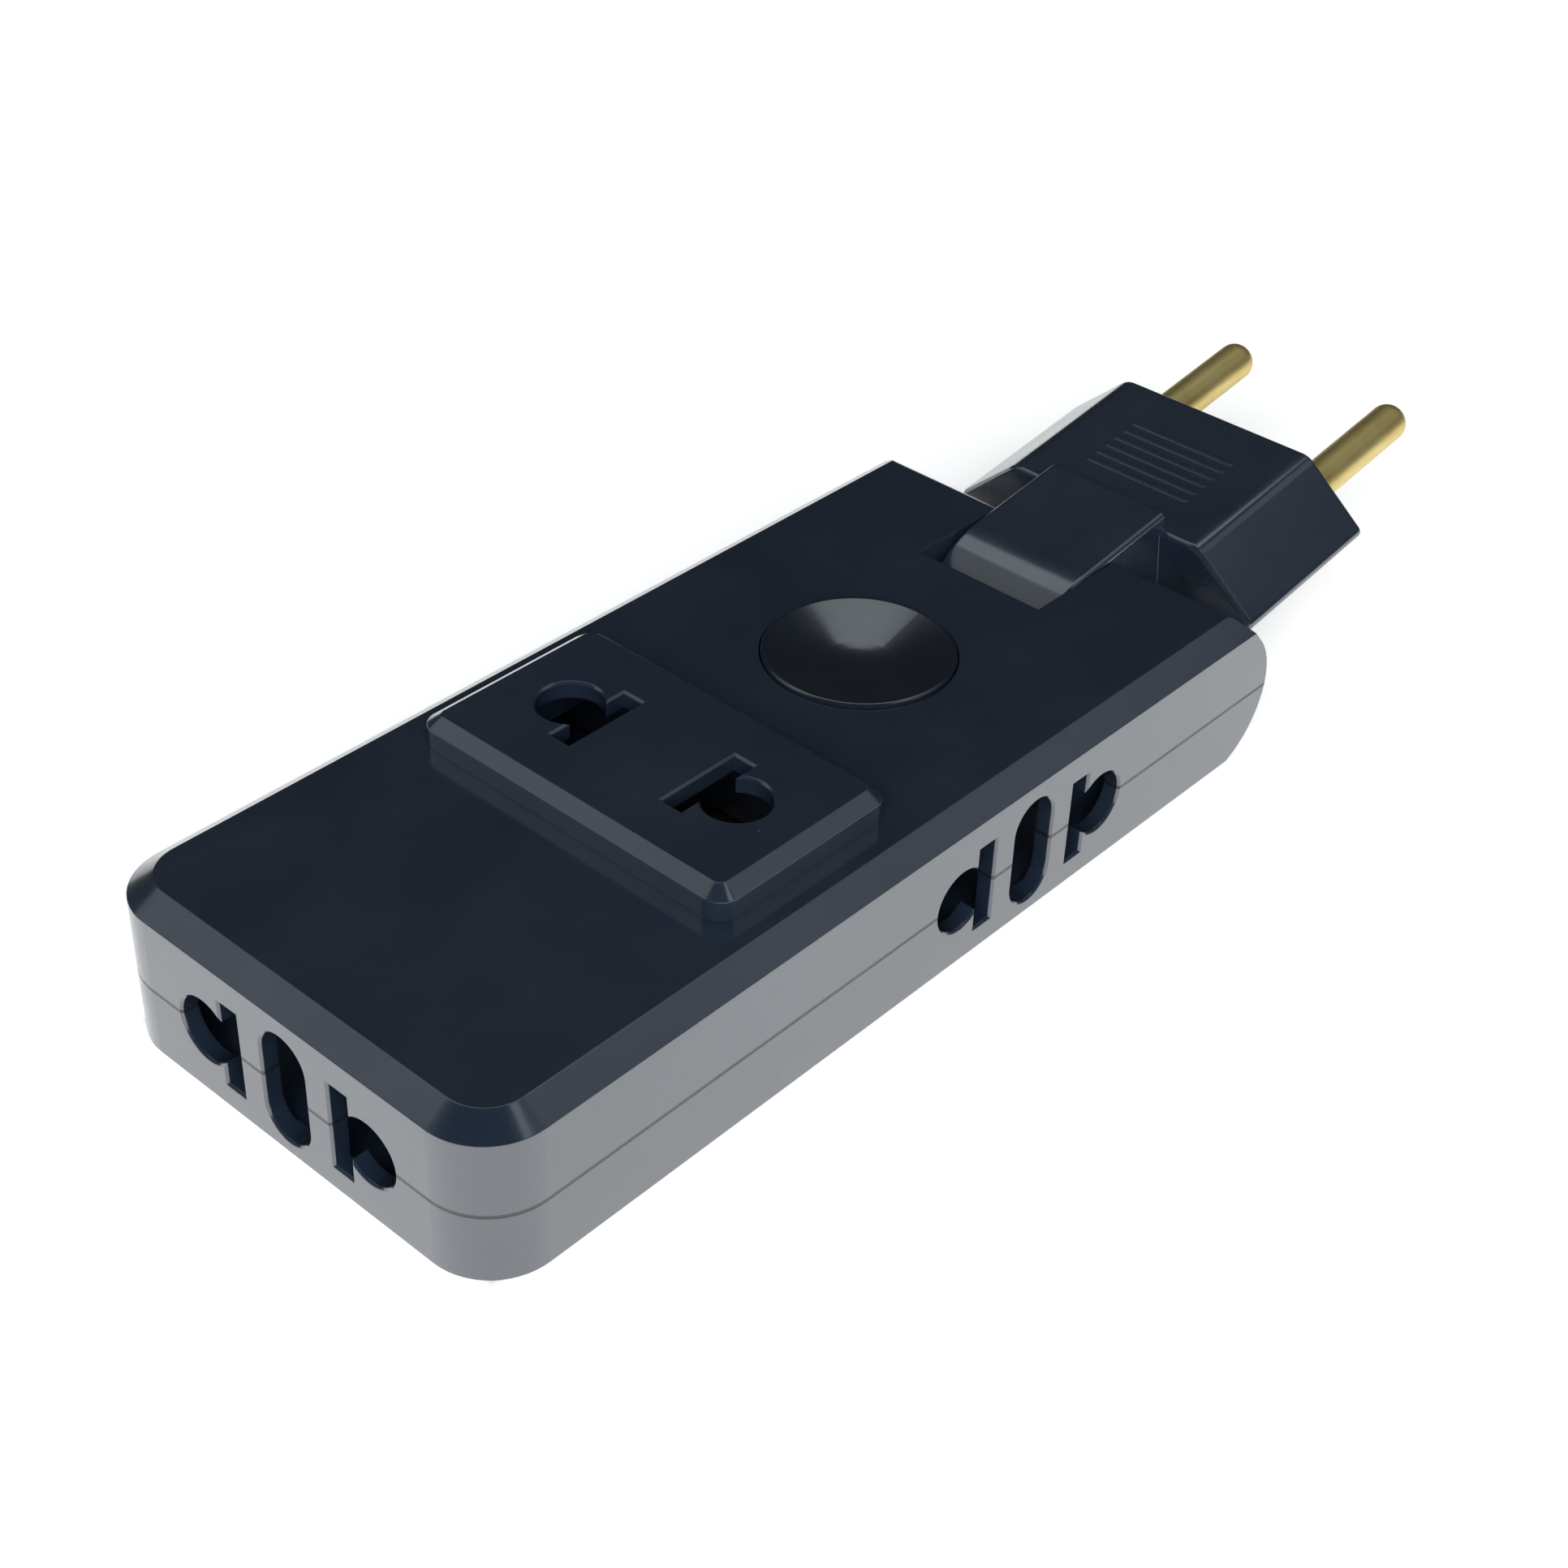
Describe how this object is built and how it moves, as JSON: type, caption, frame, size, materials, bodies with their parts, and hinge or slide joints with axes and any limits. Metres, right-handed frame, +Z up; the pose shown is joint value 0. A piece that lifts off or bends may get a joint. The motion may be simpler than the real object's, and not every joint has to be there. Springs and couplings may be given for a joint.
{
  "type": "rotating plug adapter",
  "caption": "Flat outlet bar with side, end and raised top outlets, a dished push button and a two-pin plug that swings on a hinge.",
  "frame": {"origin": "middle of the case's flat base", "axes": "+X along the case towards the plug, +Z up through the raised outlet block, the pictured long side faces -Y"},
  "size_m": [0.1399, 0.0444, 0.0184],
  "materials": {
    "case_plastic": "semi-gloss moulded",
    "block_plastic": "semi-gloss moulded",
    "button_plastic": "gloss moulded",
    "switch_plastic": "matte moulded",
    "strip_brass": "rolled strip",
    "pin_brass": "turned and polished",
    "steel": "zinc plated"
  },
  "bodies": {
    "case": {"bottom_shell": "case_plastic", "top_shell": "case_plastic", "top_outlet_block": "block_plastic", "case_screws": "steel", "live_rail": "strip_brass", "neutral_rail": "strip_brass", "live_feed_bar": "strip_brass", "live_hinge_leaf": "strip_brass", "neutral_hinge_leaf": "strip_brass", "near_outlet_live_clip": "strip_brass", "near_outlet_neutral_clip": "strip_brass", "far_outlet_live_clip": "strip_brass", "far_outlet_neutral_clip": "strip_brass", "end_outlet_live_clip": "strip_brass", "end_outlet_neutral_clip": "strip_brass", "top_outlet_live_clip": "strip_brass", "top_outlet_neutral_clip": "strip_brass", "switch_base": "switch_plastic", "switch_cover": "switch_plastic", "button_spring": "steel"},
    "plug": {"plug_upper_half": "case_plastic", "plug_lower_half": "case_plastic", "plug_screw": "steel", "plug_live_pin": "pin_brass", "plug_neutral_pin": "pin_brass", "live_trunnion": "pin_brass", "neutral_trunnion": "pin_brass", "plug_live_lead": "strip_brass", "plug_neutral_lead": "strip_brass"},
    "button": {"button_cap": "button_plastic", "switch_bridge": "strip_brass"}
  },
  "joints": [
    {"name": "plug_hinge", "type": "hinge", "parent": "case", "child": "plug", "pos_m": [0.0414, 0, 0.0076], "axis": [0, -1, 0], "range_deg": [-97.8, 82.2]},
    {"name": "button_press", "type": "slide", "parent": "case", "child": "button", "axis": [0, 0, -1], "range_m": [0, 0.0015], "stiffness_N_per_m": 800, "springref_m": -0.0015, "deforming": ["button_spring"]}
  ]
}
